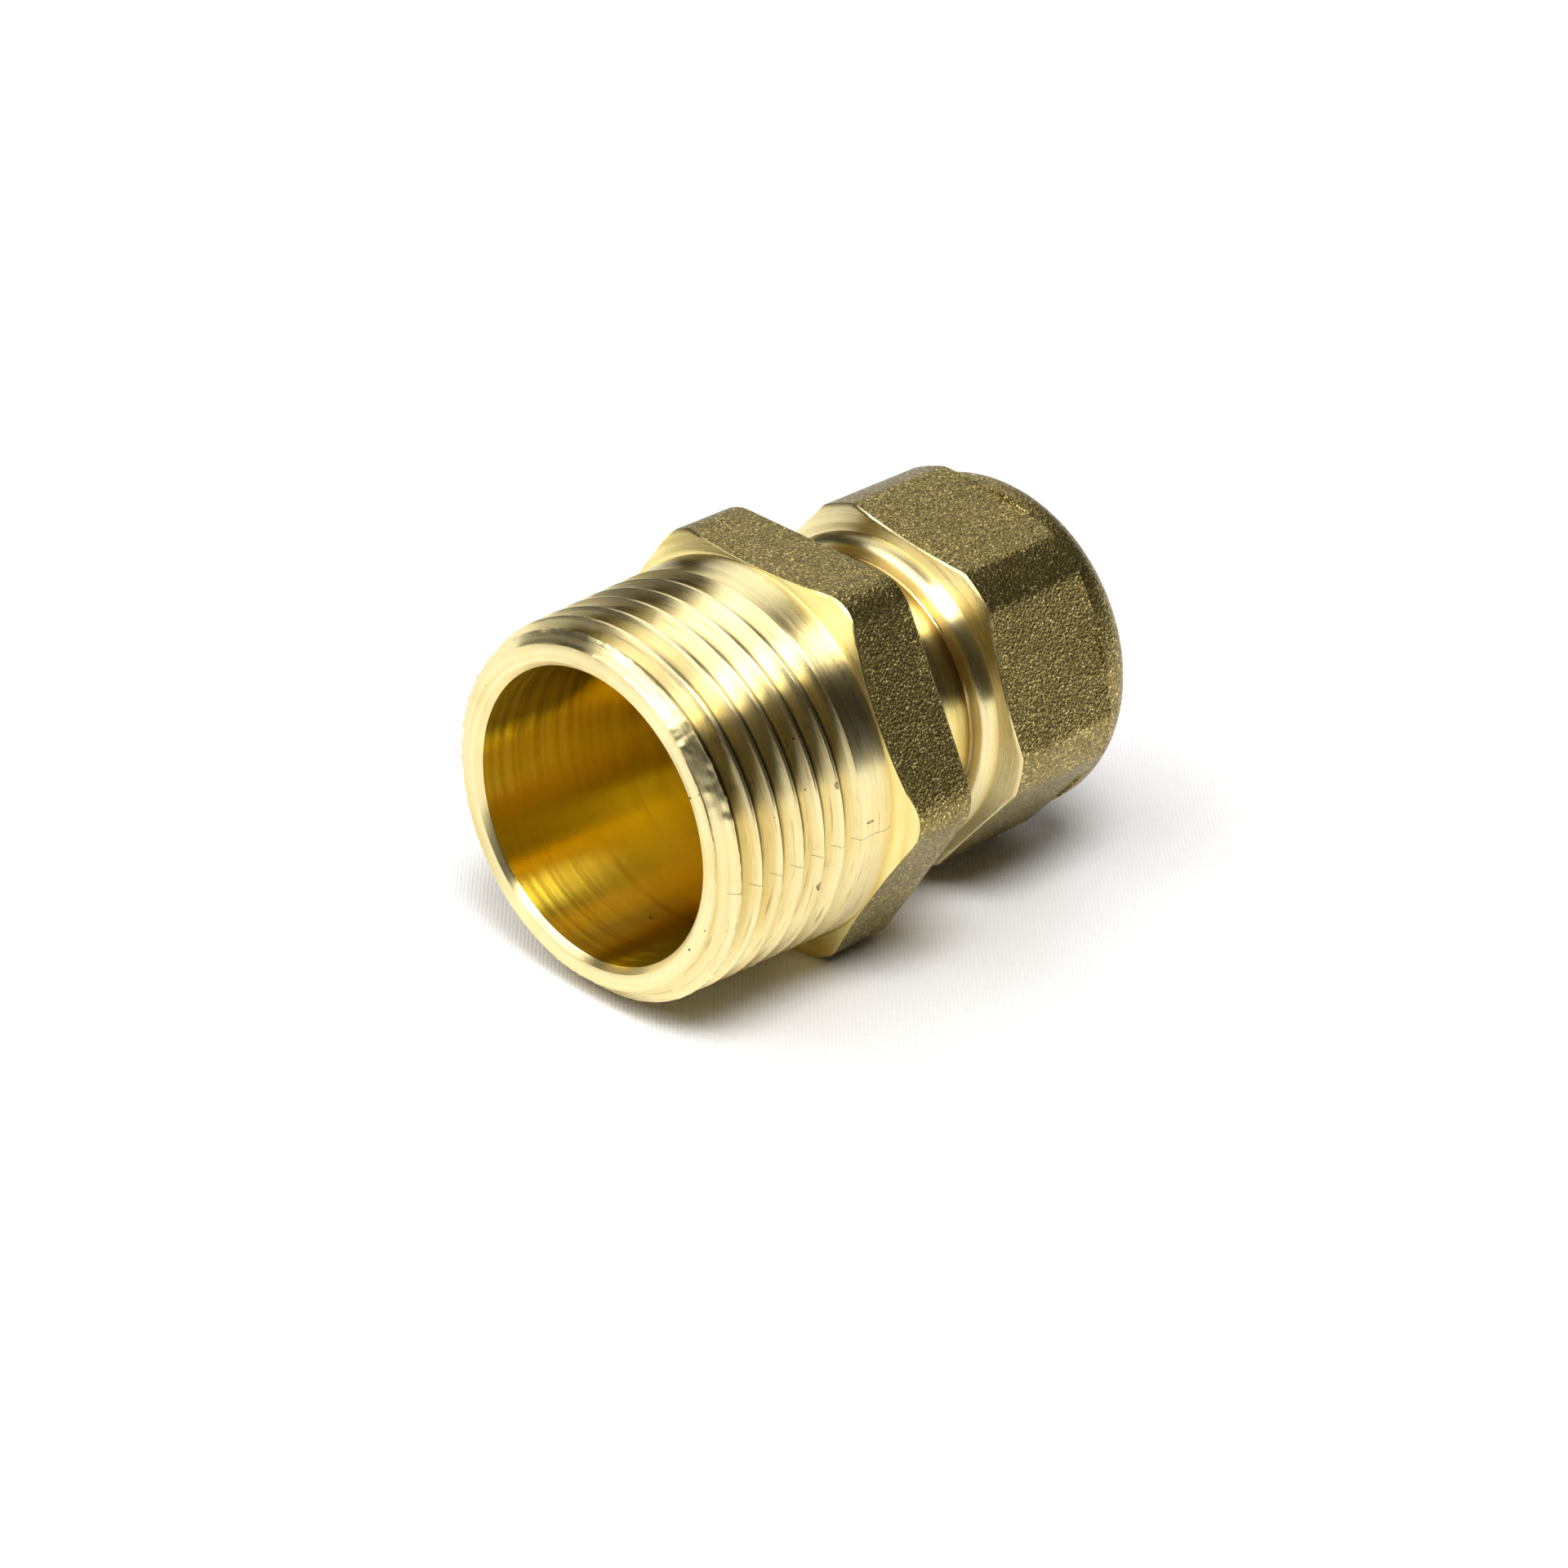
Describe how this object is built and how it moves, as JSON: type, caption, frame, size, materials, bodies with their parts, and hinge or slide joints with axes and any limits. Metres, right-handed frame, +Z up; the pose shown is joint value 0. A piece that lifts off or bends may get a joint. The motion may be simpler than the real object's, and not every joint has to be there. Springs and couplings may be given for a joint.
{
  "type": "pex pipe compression fitting",
  "caption": "Straight brass compression adapter for plastic pipe: male taper pipe thread, spanner hexagon and a compression nut over a grooved spigot.",
  "frame": {"origin": "centre of the bounding box, on the surface that the part lies on", "axes": "+X along the pipe axis from the threaded mouth to the pipe entry, +Z up, the body's hexagon lying on its lower flat"},
  "size_m": [0.0404, 0.0302, 0.027],
  "materials": {
    "body_brass": "machined thread and bore, blasted forged hexagon",
    "nut_brass": "blasted forging with machined collar",
    "ring_brass": "turned",
    "seal_rubber": "smooth black rubber",
    "washer_plastic": "smooth white plastic"
  },
  "bodies": {
    "fitting_body": {"body": "body_brass", "insulating_washer": "washer_plastic", "front_o_ring": "seal_rubber", "rear_o_ring": "seal_rubber"},
    "clamp_ring": {"split_ring": "ring_brass"},
    "nut": {"compression_nut": "nut_brass"}
  },
  "joints": [
    {"name": "ring_travel", "type": "slide", "parent": "fitting_body", "child": "clamp_ring", "axis": [1, 0, 0], "range_m": [-0.0002, 0.0046]},
    {"name": "nut_turn", "type": "hinge", "parent": "clamp_ring", "child": "nut", "pos_m": [0.0098, 0, 0.0135], "axis": [1, 0, 0], "range_deg": [-45, 1080]}
  ],
  "couplings": [
    {"joint": "ring_travel", "follows": "nut_turn", "m_per_rad": 0.00023873}
  ]
}
